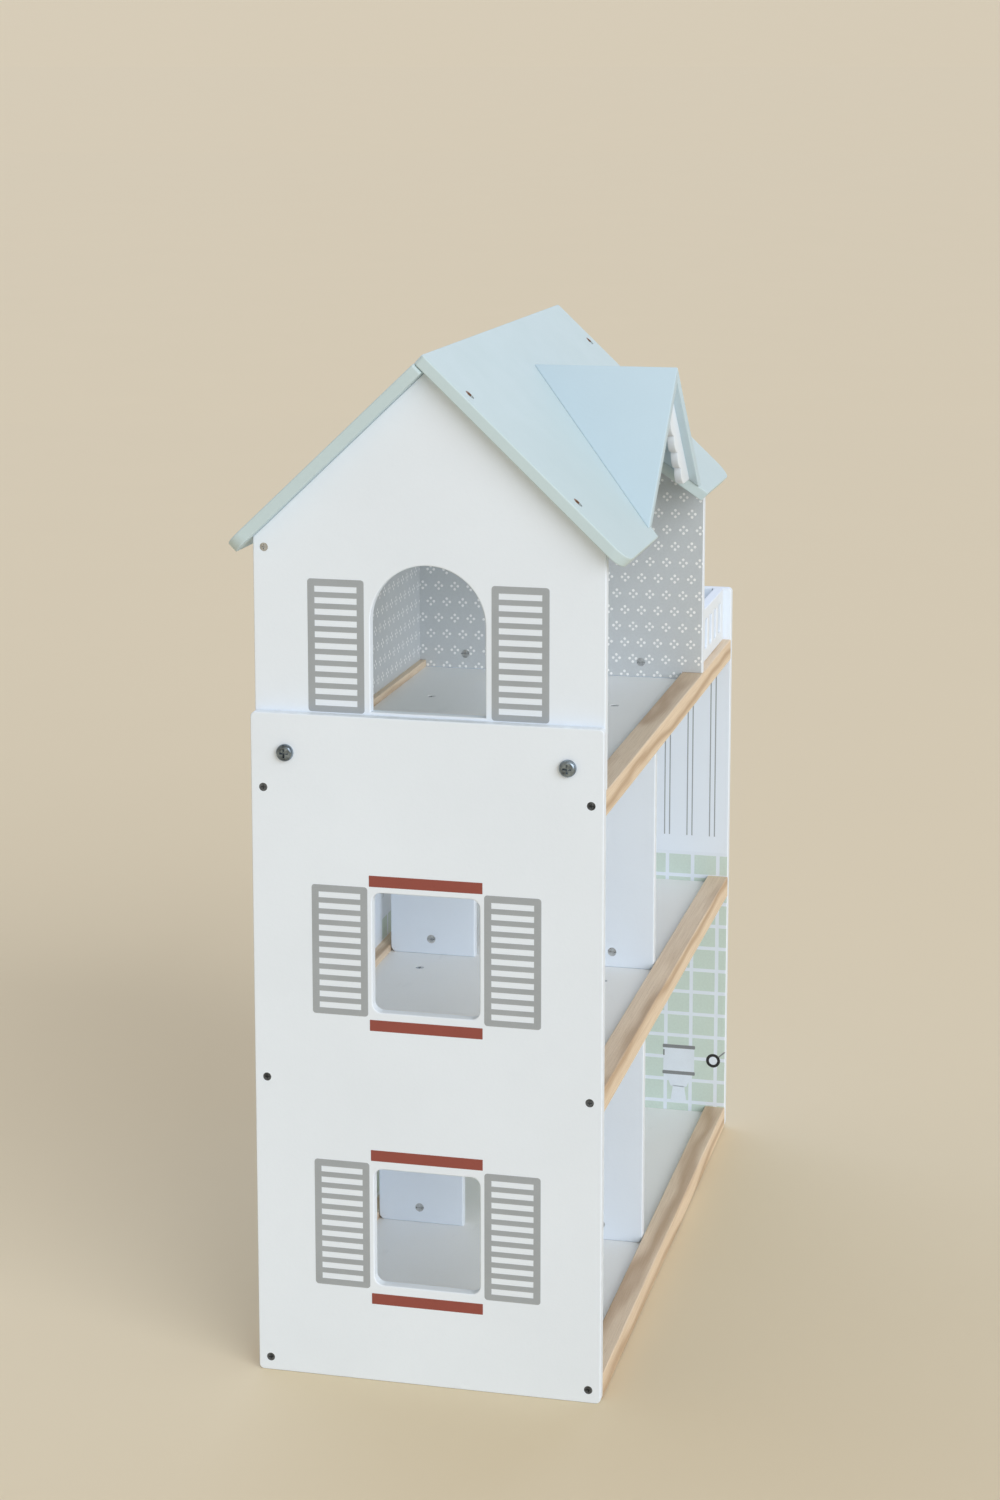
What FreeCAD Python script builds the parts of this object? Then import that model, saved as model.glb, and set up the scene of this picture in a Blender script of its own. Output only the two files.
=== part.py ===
"""Wooden dollhouse: two storeys, an attic under a gabled roof, a balcony and a dormer.

Frame, in millimetres: +X runs along the house from the gabled end to the balcony end,
-Y is the open front, +Z is up. The origin is the centre of the ground the house stands on.
"""
import os
from math import atan, cos, hypot, sin, tan, pi

import FreeCAD
import Part
from FreeCAD import Vector

# Driving dimensions of the carcass
LENGTH = 606.0
DEPTH = 270.0
BOARD = 9.0
SIDE_HEIGHT = 522.0
EASE = 1.0
CORNER = 4.0

# Rails and floors: the rail tops stand one storey apart
RAIL = 19.0
FIRST_RAIL_TOP = 20.0
STOREY = 227.0
FLOOR_DROP = 6.0
GROOVE = 5.0
BACK_WALL = 3.0
BACK_WALL_INSET = 6.0
ATTIC_BACK_EASE = 0.5

# Windows and doorways
WINDOW_WIDTH = 83.0
WINDOW_HEIGHT = 93.0
WINDOW_CORNER = 7.0
WINDOW_SILLS = (78.0, 295.0)
ARCH_WIDTH = 88.0
ARCH_SILL = 524.0
ARCH_HEIGHT = 112.0
DOOR_WIDTH = 82.0
DOOR_HEIGHT = 160.0

# Inner walls, by the place of the wall's face nearest the gabled end
GROUND_PARTITION_X = -28.0
MIDDLE_PARTITION_X = 15.0
ATTIC_END_X = 138.0
PARTITION_GAP = 0.5
PARTITION_CORNER = 5.0
GABLE_HALF = 134.0

# Roof
APEX = 780.0
GABLE_RISE = 128.0
EAVE_REACH = 147.0
ROOF_OVERHANG = 12.0
ROOF_CORNER = 15.0
ROOF_RIDGE_CORNER = 3.0

# Dormer: its boards stand on the front slope, over a notch that opens at the eave
DORMER_BACK = 30.0
DORMER_FRONT = 146.5
DORMER_HALF = 121.0
NOTCH_SETBACK = 12.0
BARGE_SETBACK = 6.5
BARGE_BOARD = 6.0
BARGE_WIDTH = 17.0
BARGE_END = 661.0
SCALLOP_DEPTH = 4.5
SCALLOP_MIDDLE = 8.0
SCALLOPS = 4

# Balcony fence
FENCE_HEIGHT = 48.0
FENCE_SETBACK = 7.0
FENCE_SLOTS = 5
SLOT_WIDTH = 13.0
SLOT_HEIGHT = 27.0
SLOT_PITCH = 25.0
SLOT_CORNER = 2.0

# Fasteners
SCREW_HEAD = 6.5
SCREW_SHANK = 3.0
SCREW_LENGTH = 32.0
SCREW_SINK = 0.3
ROOF_SCREW_LENGTH = 28.0
ROOF_SCREW_SINK = 1.5
ROOF_SCREW_LOW = 111.5
ROOF_SCREW_HIGH = 31.0
GABLE_BOLT_HEAD = 13.0
GABLE_BOLT_RISE = 4.0
GABLE_BOLT_SHANK = 6.0
GABLE_BOLT_Y = 108.0
GABLE_BOLT_Z = 492.0
INSERT_WIDTH = 10.0
INSERT_FLANGE = 14.0
INSERT_FLANGE_DEPTH = 1.2
WALL_BOLT_HEAD = 7.5
WALL_BOLT_SHANK = 4.0
WALL_BOLT_LENGTH = 28.0
WALL_BOLT_Y = 79.5
BARREL_NUT = 7.5
BARREL_NUT_OFFSET = 13.5
NUT_SLOT = 1.0
BACK_SCREW_HEIGHTS = (500.0, 645.5)
DOWEL = 5.0
DOWEL_DEPTH = 8.0
DOWEL_SHARES = (0.12, 0.88)

# A cross recess, as shares of its head: how wide, how wide each slot, and how deep
FLAT_RECESS = (0.55, 0.13, 0.8)
PAN_RECESS = (0.52, 0.12, 0.6)
PAN_ROUNDING = 0.65

# Worked out from the above
HALF = DEPTH / 2
END_FACE = LENGTH / 2
INNER_FACE = END_FACE - BOARD
RAIL_TOPS = [FIRST_RAIL_TOP + STOREY * level for level in range(3)]
FLOOR_TOPS = [top - FLOOR_DROP for top in RAIL_TOPS]
RAIL_INNER = HALF - RAIL
RAIL_CENTRE = HALF - RAIL / 2
GABLE_OUTER_X = -INNER_FACE
GABLE_INNER_X = GABLE_OUTER_X + BOARD
PITCH = atan(GABLE_RISE / HALF)
ROOF_X0 = GABLE_OUTER_X - ROOF_OVERHANG
ROOF_X1 = ATTIC_END_X + BOARD + ROOF_OVERHANG
DORMER_X = (ROOF_X0 + ROOF_X1) / 2
ROOF_TOP_RISE = BOARD / cos(PITCH)
LEVELS = ("ground", "middle", "attic")

# Cutting shapes run past what they cut by a little, or right across the house
PAST = 1.0
FAR_PAST = 20.0
ACROSS = 400.0


def roof_under(y):
    """Height of the roof boards' under face over the depth y."""
    return APEX - tan(PITCH) * abs(y)


def box(x0, x1, y0, y1, z0, z1):
    return Part.makeBox(x1 - x0, y1 - y0, z1 - z0, Vector(x0, y0, z0))


def rounded_outline(points, radii):
    """A closed flat outline through the points, each corner rounded by its radius."""
    edges = []
    starts = []
    count = len(points)
    for i, point in enumerate(points):
        corner = Vector(*point, 0)
        before = Vector(*points[i - 1], 0).sub(corner)
        after = Vector(*points[(i + 1) % count], 0).sub(corner)
        before.normalize()
        after.normalize()
        radius = radii[i]
        if radius <= 0:
            starts.append((corner, corner))
            continue
        half_turn = before.getAngle(after) / 2
        reach = radius / tan(half_turn)
        first = corner.add(before * reach)
        last = corner.add(after * reach)
        inward = before.add(after)
        inward.normalize()
        middle = corner.add(inward * (radius / sin(half_turn) - radius))
        edges.append(Part.Arc(first, middle, last).toShape())
        starts.append((first, last))
    for i in range(count):
        leave = starts[i][1]
        meet = starts[(i + 1) % count][0]
        if leave.distanceToPoint(meet) > 1e-6:
            edges.append(Part.makeLine(leave, meet))
    return Part.Wire(Part.__sortEdges__(edges))


def ease_faces(solid, thickness, ease):
    """Rounds the edges around both broad faces of a flat board."""
    rim = []
    for edge in solid.Edges:
        bounds = edge.BoundBox
        if bounds.ZLength < 1e-6 and (bounds.ZMin < 1e-6 or bounds.ZMax > thickness - 1e-6):
            rim.append(edge)
    return solid.makeFillet(ease, rim)


def board(points, radii, thickness=BOARD, holes=(), ease=EASE):
    """A flat board drawn in its own XY plane; holes are outlines cut through it."""
    solid = Part.Face(rounded_outline(points, radii)).extrude(Vector(0, 0, thickness))
    for hole in holes:
        cutter = Part.Face(hole).extrude(Vector(0, 0, thickness + 2 * PAST))
        cutter.translate(Vector(0, 0, -PAST))
        solid = solid.cut(cutter)
    return ease_faces(solid, thickness, ease)


def rectangle(x0, x1, y0, y1):
    return [(x0, y0), (x1, y0), (x1, y1), (x0, y1)]


def across(shape, x):
    """Stands a flat board across the house: its X becomes Y and its Y becomes Z."""
    shape.rotate(Vector(0, 0, 0), Vector(1, 1, 1), 120)
    shape.translate(Vector(x, 0, 0))
    return shape


def along(shape, y):
    """Stands a flat board along the house, its near face at y."""
    shape.rotate(Vector(0, 0, 0), Vector(1, 0, 0), 90)
    shape.translate(Vector(0, y + shape.BoundBox.YLength, 0))
    return shape


def on_slope(shape):
    """Lays a flat board on the front slope, its lower edge at the eave."""
    shape.rotate(Vector(0, 0, 0), Vector(1, 0, 0), PITCH * 180 / pi)
    shape.translate(Vector(0, -EAVE_REACH, roof_under(EAVE_REACH)))
    return shape


def mirrored(shape):
    """The same board on the other slope."""
    return shape.mirror(Vector(0, 0, 0), Vector(0, 1, 0))


def arch_outline(width, foot, height):
    """An opening with straight sides and a half-round head."""
    half = width / 2
    spring = foot + height - half
    head = Part.Arc(Vector(half, spring, 0), Vector(0, foot + height, 0), Vector(-half, spring, 0))
    lines = [
        Part.makeLine(Vector(-half, spring, 0), Vector(-half, foot, 0)),
        Part.makeLine(Vector(-half, foot, 0), Vector(half, foot, 0)),
        Part.makeLine(Vector(half, foot, 0), Vector(half, spring, 0)),
    ]
    return Part.Wire(Part.__sortEdges__([head.toShape(), *lines]))


# Fasteners. Each is drawn with its head's top at the origin, pointing along -Z.


def cross_recess(head, rise, shares):
    """The cross cut into a head, sized by its shares of the head's width and height."""
    width = head * shares[0]
    slot = head * shares[1]
    depth = rise * shares[2]
    bar = box(-width / 2, width / 2, -slot / 2, slot / 2, -depth, depth)
    other = box(-slot / 2, slot / 2, -width / 2, width / 2, -depth, depth)
    return bar.fuse(other)


def flat_head_screw(head, shank, length, recessed=True):
    """A countersunk cross-recess screw with a pointed tip."""
    sink = (head - shank) / 2
    cone = Part.makeCone(shank / 2, head / 2, sink, Vector(0, 0, -sink))
    tip = shank
    stem = Part.makeCylinder(shank / 2, length - sink - tip, Vector(0, 0, tip - length))
    point = Part.makeCone(0, shank / 2, tip, Vector(0, 0, -length))
    screw = cone.fuse([stem, point])
    if recessed:
        screw = screw.cut(cross_recess(head, sink, FLAT_RECESS))
    return screw


def flat_head_bolt(head, shank, length, recessed=True):
    """A countersunk cross-recess machine screw with a plain end."""
    sink = (head - shank) / 2
    bolt = Part.makeCone(shank / 2, head / 2, sink, Vector(0, 0, -sink))
    bolt = bolt.fuse(Part.makeCylinder(shank / 2, length - sink, Vector(0, 0, -length)))
    if recessed:
        bolt = bolt.cut(cross_recess(head, sink, FLAT_RECESS))
    return bolt


def pan_head_bolt(head, rise, shank, length, recessed=True):
    """A pan-head machine screw; its length is counted from under the head."""
    cap = Part.makeCylinder(head / 2, rise, Vector(0, 0, -rise))
    rim = [edge for edge in cap.Edges if edge.BoundBox.ZMin > -1e-6]
    cap = cap.makeFillet(rise * PAN_ROUNDING, rim)
    bolt = cap.fuse(Part.makeCylinder(shank / 2, length, Vector(0, 0, -rise - length)))
    if recessed:
        bolt = bolt.cut(cross_recess(head, rise, PAN_RECESS))
    return bolt


def placed(shape, place, aim):
    """Turns a fastener so that it points along aim, with its head's top at place."""
    turned = shape.copy()
    turn = FreeCAD.Rotation(Vector(0, 0, -1), Vector(*aim))
    turned.Placement = FreeCAD.Placement(Vector(*place), turn)
    return turned


def fastener_set(make, spots):
    """The finished fasteners for the spots, and the plain shapes that cut their holes."""
    finished = [placed(make(True), place, aim) for place, aim in spots]
    cutters = [placed(make(False), place, aim) for place, aim in spots]
    return finished, cutters


def head_bores(head, spots):
    """Short bores from each sunk head out past the surface."""
    return [
        Part.makeCylinder(head / 2, 2 * ROOF_SCREW_SINK, Vector(*place), Vector(*aim) * -1)
        for place, aim in spots
    ]


def side_screw_spots(side):
    """Screws through an end panel into the end of every rail."""
    spots = []
    for top in RAIL_TOPS:
        for y in (-RAIL_CENTRE, RAIL_CENTRE):
            place = (side * (END_FACE - SCREW_SINK), y, top - RAIL / 2)
            spots.append((place, (-side, 0, 0)))
    return spots


def back_screw_spots():
    """Screws through the gable panel and the attic end wall into the attic's back wall."""
    centre_y = RAIL_CENTRE
    spots = []
    for z in BACK_SCREW_HEIGHTS:
        spots.append(((GABLE_OUTER_X + SCREW_SINK, centre_y, z), (1, 0, 0)))
        spots.append(((ATTIC_END_X + BOARD - SCREW_SINK, centre_y, z), (-1, 0, 0)))
    return spots


def roof_screw_spots():
    """Screws square to both slopes, down into the sloping edges of the gables."""
    spots = []
    rise = (BOARD - ROOF_SCREW_SINK) / cos(PITCH)
    for x in (GABLE_OUTER_X + BOARD / 2, ATTIC_END_X + BOARD / 2):
        for y in (ROOF_SCREW_LOW, ROOF_SCREW_HIGH):
            for side in (-1, 1):
                place = (x, side * y, roof_under(y) + rise)
                spots.append((place, (0, -side * sin(PITCH), -cos(PITCH))))
    return spots


def wall_bolt_rows():
    """For every row of wall bolts: the wall's centre, the heads' height, the way they point."""
    ground_x = GROUND_PARTITION_X + BOARD / 2
    middle_x = MIDDLE_PARTITION_X + BOARD / 2
    attic_x = ATTIC_END_X + BOARD / 2
    return [
        (ground_x, FLOOR_TOPS[0] - BOARD, 1),
        (ground_x, FLOOR_TOPS[1], -1),
        (middle_x, FLOOR_TOPS[1] - BOARD, 1),
        (middle_x, FLOOR_TOPS[2], -1),
        (attic_x, FLOOR_TOPS[2] - BOARD, 1),
    ]


def wall_bolt_spots():
    return [
        ((x, y, z + way * SCREW_SINK), (0, 0, way))
        for x, z, way in wall_bolt_rows()
        for y in (-WALL_BOLT_Y, WALL_BOLT_Y)
    ]


def barrel_nuts():
    """Slotted cross dowels in the walls, each crossed by its bolt."""
    nuts = []
    for x, z, way in wall_bolt_rows():
        for y in (-WALL_BOLT_Y, WALL_BOLT_Y):
            centre_z = z + way * (BOARD + BARREL_NUT_OFFSET)
            start = Vector(x - BOARD / 2, y, centre_z)
            nut = Part.makeCylinder(BARREL_NUT / 2, BOARD, start, Vector(1, 0, 0))
            slot_z = (centre_z - NUT_SLOT / 2, centre_z + NUT_SLOT / 2)
            slot = box(start.x, start.x + NUT_SLOT, y - BARREL_NUT, y + BARREL_NUT, *slot_z)
            nuts.append((nut.cut(slot), nut))
    return nuts


def gable_bolt_spots():
    place_x = -END_FACE - GABLE_BOLT_RISE
    return [((place_x, y, GABLE_BOLT_Z), (1, 0, 0)) for y in (-GABLE_BOLT_Y, GABLE_BOLT_Y)]


def gable_inserts():
    """Flanged threaded inserts pressed into the gable panel from inside."""
    inserts = []
    for y in (-GABLE_BOLT_Y, GABLE_BOLT_Y):
        start = Vector(GABLE_OUTER_X, y, GABLE_BOLT_Z)
        body = Part.makeCylinder(INSERT_WIDTH / 2, BOARD, start, Vector(1, 0, 0))
        flange_start = Vector(GABLE_INNER_X, y, GABLE_BOLT_Z)
        flange = Part.makeCylinder(
            INSERT_FLANGE / 2, INSERT_FLANGE_DEPTH, flange_start, Vector(1, 0, 0)
        )
        inserts.append(body.fuse(flange))
    return inserts


def fence_dowels():
    """Upright dowels between the top rails and the fences that stand on them."""
    span = (ATTIC_END_X + BOARD, INNER_FACE)
    dowels = []
    for y in (-fence_centre(), fence_centre()):
        for share in DOWEL_SHARES:
            x = span[0] + share * (span[1] - span[0])
            start = Vector(x, y, RAIL_TOPS[2] - DOWEL_DEPTH)
            dowels.append(Part.makeCylinder(DOWEL / 2, 2 * DOWEL_DEPTH, start))
    return dowels


def fence_centre():
    return HALF - FENCE_SETBACK - BOARD / 2


# Boards


def side_panel(side, cutters):
    """An end panel of the carcass with its two windows."""
    holes = [
        rounded_outline(
            rectangle(-WINDOW_WIDTH / 2, WINDOW_WIDTH / 2, sill, sill + WINDOW_HEIGHT),
            [WINDOW_CORNER] * 4,
        )
        for sill in WINDOW_SILLS
    ]
    panel = board(rectangle(-HALF, HALF, 0, SIDE_HEIGHT), [CORNER] * 4, holes=holes)
    panel = across(panel, -END_FACE if side < 0 else INNER_FACE)
    return panel.cut(cutters)


def gable_board(x, hole, cutters):
    """A gabled board, notched below so that it straddles the top floor's two rails."""
    eave = roof_under(GABLE_HALF)
    foot = FLOOR_TOPS[2]
    step = RAIL_TOPS[2]
    outline = [
        (-RAIL_INNER, foot),
        (RAIL_INNER, foot),
        (RAIL_INNER, step),
        (GABLE_HALF, step),
        (GABLE_HALF, eave),
        (0, APEX),
        (-GABLE_HALF, eave),
        (-GABLE_HALF, step),
        (-RAIL_INNER, step),
    ]
    return across(board(outline, [0] * len(outline), holes=[hole]), x).cut(cutters)


def rail(level, side):
    """One square rail, grooved for the floor board and, at the back, for the thin back walls."""
    top = RAIL_TOPS[level]
    bar = Part.makeBox(2 * INNER_FACE, RAIL, RAIL, Vector(-INNER_FACE, -RAIL / 2, top - RAIL))
    bar = bar.makeFillet(EASE, [edge for edge in bar.Edges if edge.BoundBox.XLength > RAIL])
    bar.translate(Vector(0, side * RAIL_CENTRE, 0))
    inner = sorted((side * RAIL_INNER, side * (RAIL_INNER + GROOVE)))
    floor_top = FLOOR_TOPS[level]
    bar = bar.cut(box(-END_FACE, END_FACE, *inner, floor_top - BOARD, floor_top))
    if side > 0:
        wall = (HALF - BACK_WALL_INSET - BACK_WALL, HALF - BACK_WALL_INSET)
        if level < 2:
            bar = bar.cut(box(-END_FACE, END_FACE, *wall, top - GROOVE, top + PAST))
        if level > 0:
            foot = top - RAIL
            bar = bar.cut(box(-END_FACE, END_FACE, *wall, foot - PAST, foot + GROOVE))
    return bar


def floor_board(level):
    reach = RAIL_INNER + GROOVE
    top = FLOOR_TOPS[level]
    return box(-INNER_FACE, INNER_FACE, -reach, reach, top - BOARD, top)


def partition(x, level):
    """A wall across one storey with an arched doorway, between the rails and the floors."""
    reach = RAIL_INNER - PARTITION_GAP
    foot = FLOOR_TOPS[level]
    top = FLOOR_TOPS[level + 1] - BOARD
    outline = rectangle(-reach, reach, foot, top)
    return across(board(outline, [PARTITION_CORNER] * 4, holes=[door_outline(foot)]), x)


def door_outline(foot):
    """An arched doorway that runs down past the foot of its wall."""
    return arch_outline(DOOR_WIDTH, foot - FAR_PAST, DOOR_HEIGHT + FAR_PAST)


def lower_back_wall(level):
    """A thin back wall held in the grooves of the rails below and above it."""
    foot = RAIL_TOPS[level] - GROOVE
    top = RAIL_TOPS[level + 1] - RAIL + GROOVE
    outer = HALF - BACK_WALL_INSET
    return box(-INNER_FACE, INNER_FACE, outer - BACK_WALL, outer, foot, top)


def attic_back_wall():
    """The attic's back wall stands on the rail, between the two gabled boards."""
    top = roof_under(RAIL_CENTRE + BOARD / 2)
    outline = rectangle(GABLE_INNER_X, ATTIC_END_X, RAIL_TOPS[2], top)
    return along(board(outline, [0] * 4, ease=ATTIC_BACK_EASE), RAIL_CENTRE - BOARD / 2)


def valley_x(reach):
    """How far the dormer spreads from its middle, at a distance in front of the ridge."""
    return DORMER_HALF * (reach - DORMER_BACK) / (DORMER_FRONT - DORMER_BACK)


def roof_board(length, holes=()):
    outline = rectangle(ROOF_X0, ROOF_X1, 0, length)
    radii = [ROOF_CORNER, ROOF_CORNER, ROOF_RIDGE_CORNER, ROOF_RIDGE_CORNER]
    return on_slope(board(outline, radii, holes=holes))


def notch_outline():
    """The notch under the dormer, in the front board's own plane, open at the eave."""
    slope = DORMER_HALF / (DORMER_FRONT - DORMER_BACK)
    top_foot = EAVE_REACH + BOARD * sin(PITCH)
    tip_reach = DORMER_BACK + NOTCH_SETBACK / slope
    tip = (top_foot - tip_reach) / cos(PITCH)
    half = valley_x(top_foot + FAR_PAST * cos(PITCH)) - NOTCH_SETBACK
    points = [(DORMER_X - half, -FAR_PAST), (DORMER_X + half, -FAR_PAST), (DORMER_X, tip)]
    return rounded_outline(points, [0, 0, 0])


def dormer_slope():
    """Rise over run of the dormer's own roof, which meets the front slope along the valleys."""
    ridge = roof_under(DORMER_BACK)
    foot = roof_under(DORMER_FRONT)
    return (ridge - foot) / DORMER_HALF


def dormer_ridge():
    return roof_under(DORMER_BACK) + ROOF_TOP_RISE


def dormer_board(side, seat):
    """Half of the dormer's roof: a strip down from the ridge, cut off along the front slope."""
    slope = dormer_slope()
    drop = BOARD * hypot(1, slope)
    ridge = dormer_ridge()
    run = DORMER_HALF + FAR_PAST
    section = [
        Vector(DORMER_X, 0, ridge),
        Vector(DORMER_X + side * run, 0, ridge - slope * run),
        Vector(DORMER_X + side * run, 0, ridge - slope * run - drop),
        Vector(DORMER_X, 0, ridge - drop),
    ]
    face = Part.Face(Part.makePolygon([*section, section[0]]))
    strip = face.extrude(Vector(0, DORMER_FRONT, 0))
    strip.translate(Vector(0, -DORMER_FRONT, 0))
    return strip.cut(seat)


def slope_block():
    """Everything under the front slope's top face, as a block for cutting what stands on it."""
    block = box(ROOF_X0 - FAR_PAST, ROOF_X1 + FAR_PAST, -ACROSS, ACROSS, -ACROSS, BOARD)
    return on_slope(block)


def bargeboard():
    """A scalloped V-shaped trim under the dormer's two boards."""
    slope = dormer_slope()
    fall = hypot(1, slope)
    top = dormer_ridge() - BOARD * fall
    band = BARGE_WIDTH * fall
    outer_x = (top - BARGE_END) / slope
    inner_x = (top - band - BARGE_END) / slope
    pitch = (inner_x - SCALLOP_MIDDLE) / SCALLOPS

    def at(x, z):
        return Vector(DORMER_X + x, 0, z)

    def inner(x):
        return at(x, top - band - slope * abs(x))

    middle_foot = at(0, inner(SCALLOP_MIDDLE).z - SCALLOP_DEPTH)
    edges = [Part.Arc(inner(-SCALLOP_MIDDLE), middle_foot, inner(SCALLOP_MIDDLE)).toShape()]
    for side in (-1, 1):
        end = at(side * outer_x, BARGE_END)
        edges.append(Part.makeLine(at(0, top), end))
        edges.append(Part.makeLine(end, at(side * inner_x, BARGE_END)))
        dip = Vector(-side * slope, 0, -1) * (SCALLOP_DEPTH / fall)
        for i in range(SCALLOPS):
            start = inner(side * (SCALLOP_MIDDLE + i * pitch))
            finish = inner(side * (SCALLOP_MIDDLE + (i + 1) * pitch))
            edges.append(Part.Arc(start, (start + finish) * 0.5 + dip, finish).toShape())
    face = Part.Face(Part.Wire(Part.__sortEdges__(edges)))
    trim = face.extrude(Vector(0, BARGE_BOARD, 0))
    trim.translate(Vector(0, BARGE_SETBACK - DORMER_FRONT, 0))
    return trim


def fence(side):
    """A slotted fence between the attic's end wall and the end panel, on a top rail."""
    x0 = ATTIC_END_X + BOARD
    x1 = INNER_FACE
    foot = RAIL_TOPS[2]
    centre_x = (x0 + x1) / 2
    centre_z = foot + FENCE_HEIGHT / 2
    slots = []
    for i in range(FENCE_SLOTS):
        x = centre_x + (i - (FENCE_SLOTS - 1) / 2) * SLOT_PITCH
        outline = rectangle(
            x - SLOT_WIDTH / 2,
            x + SLOT_WIDTH / 2,
            centre_z - SLOT_HEIGHT / 2,
            centre_z + SLOT_HEIGHT / 2,
        )
        slots.append(rounded_outline(outline, [SLOT_CORNER] * 4))
    panel = board(rectangle(x0, x1, foot, foot + FENCE_HEIGHT), [0] * 4, holes=slots)
    return along(panel, side * fence_centre() - BOARD / 2)


def build():
    """Every node of the house, by name."""
    nodes = {}

    def wood_screw(length):
        return lambda recessed: flat_head_screw(SCREW_HEAD, SCREW_SHANK, length, recessed)

    left_screws, left_cut = fastener_set(wood_screw(SCREW_LENGTH), side_screw_spots(-1))
    right_screws, right_cut = fastener_set(wood_screw(SCREW_LENGTH), side_screw_spots(1))
    back_screws, back_cut = fastener_set(wood_screw(SCREW_LENGTH), back_screw_spots())
    roof_screws, roof_cut = fastener_set(wood_screw(ROOF_SCREW_LENGTH), roof_screw_spots())
    wall_bolts, wall_cut = fastener_set(
        lambda recessed: flat_head_bolt(WALL_BOLT_HEAD, WALL_BOLT_SHANK, WALL_BOLT_LENGTH, recessed),
        wall_bolt_spots(),
    )
    gable_bolts, gable_cut = fastener_set(
        lambda recessed: pan_head_bolt(
            GABLE_BOLT_HEAD, GABLE_BOLT_RISE, GABLE_BOLT_SHANK, 2 * BOARD, recessed
        ),
        gable_bolt_spots(),
    )
    nuts = barrel_nuts()
    nut_blanks = [blank for _, blank in nuts]
    inserts = gable_inserts()
    pegs = fence_dowels()

    # The screws are sunk a little, so their holes open to the surface with a short bore
    side_spots = side_screw_spots(-1) + side_screw_spots(1)
    screw_spots = side_spots + back_screw_spots() + roof_screw_spots()
    sink_cut = head_bores(SCREW_HEAD, screw_spots)
    bolt_sink_cut = head_bores(WALL_BOLT_HEAD, wall_bolt_spots())

    nodes["left_side_panel"] = [side_panel(-1, left_cut + gable_cut + sink_cut)]
    nodes["right_side_panel"] = [side_panel(1, right_cut + sink_cut)]
    gable_holes = gable_cut + inserts + back_cut + roof_cut + sink_cut
    arch = arch_outline(ARCH_WIDTH, ARCH_SILL, ARCH_HEIGHT)
    nodes["left_gable_panel"] = [gable_board(GABLE_OUTER_X, arch, gable_holes)]
    end_holes = back_cut + roof_cut + sink_cut + wall_cut + nut_blanks
    door = door_outline(FLOOR_TOPS[2])
    nodes["attic_end_wall"] = [gable_board(ATTIC_END_X, door, end_holes)]

    for level, name in enumerate(LEVELS):
        nodes[f"{name}_front_rail"] = [rail(level, -1).cut(left_cut + right_cut + pegs)]
        nodes[f"{name}_back_rail"] = [rail(level, 1).cut(left_cut + right_cut + pegs)]
        nodes[f"{name}_floor"] = [floor_board(level).cut(wall_cut + bolt_sink_cut)]
    nodes["ground_partition"] = [partition(GROUND_PARTITION_X, 0).cut(wall_cut + nut_blanks)]
    nodes["middle_partition"] = [partition(MIDDLE_PARTITION_X, 1).cut(wall_cut + nut_blanks)]
    nodes["ground_back_wall"] = [lower_back_wall(0)]
    nodes["middle_back_wall"] = [lower_back_wall(1)]
    nodes["attic_back_wall"] = [attic_back_wall().cut(back_cut)]

    past_ridge = BOARD / (2 * sin(PITCH))
    front_length = (EAVE_REACH + past_ridge) / cos(PITCH)
    back_length = (EAVE_REACH + BOARD * sin(PITCH) - past_ridge) / cos(PITCH)
    front = roof_board(front_length, [notch_outline()])
    nodes["roof_front_board"] = [front.cut(roof_cut + sink_cut)]
    back = mirrored(roof_board(back_length))
    nodes["roof_back_board"] = [back.cut(roof_cut + sink_cut)]

    seat = slope_block()
    for side, name in ((-1, "left"), (1, "right")):
        nodes[f"dormer_{name}_board"] = [dormer_board(side, seat)]
    nodes["dormer_bargeboard"] = [bargeboard()]
    nodes["balcony_front_fence"] = [fence(-1).cut(pegs)]
    nodes["balcony_back_fence"] = [fence(1).cut(pegs)]

    nodes["left_side_screws"] = left_screws
    nodes["right_side_screws"] = right_screws
    nodes["attic_back_wall_screws"] = back_screws
    nodes["roof_screws"] = roof_screws
    nodes["gable_bolts"] = gable_bolts
    nodes["gable_bolt_inserts"] = [insert.cut(gable_cut) for insert in inserts]
    nodes["wall_bolts"] = wall_bolts
    nodes["wall_barrel_nuts"] = [nut.cut(wall_cut) for nut, _ in nuts]
    nodes["fence_dowels"] = pegs
    return nodes


def solids_of(shapes):
    found = []
    for shape in shapes:
        found.extend(shape.Solids)
    return found


def main():
    os.makedirs("parts", exist_ok=True)
    for name, shapes in build().items():
        solids = solids_of(shapes)
        shape = solids[0] if len(solids) == 1 else Part.makeCompound(solids)
        shape.exportStep(f"parts/{name}.step")
        print(f"{name:24s} solids {len(solids):2d} valid {shape.isValid()} volume {shape.Volume:10.1f}")


main()
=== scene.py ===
"""Finishes, prints and stage for a wooden dollhouse.

The house's boards, rails and fasteners are loaded as a fixed frame, in metres. This
file paints and papers them, lays the printed shutters and bathroom motifs on them,
rounds the dormer's boards, and sets up a plain studio with a camera.
"""

from math import cos, hypot, pi, radians, sin

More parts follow.
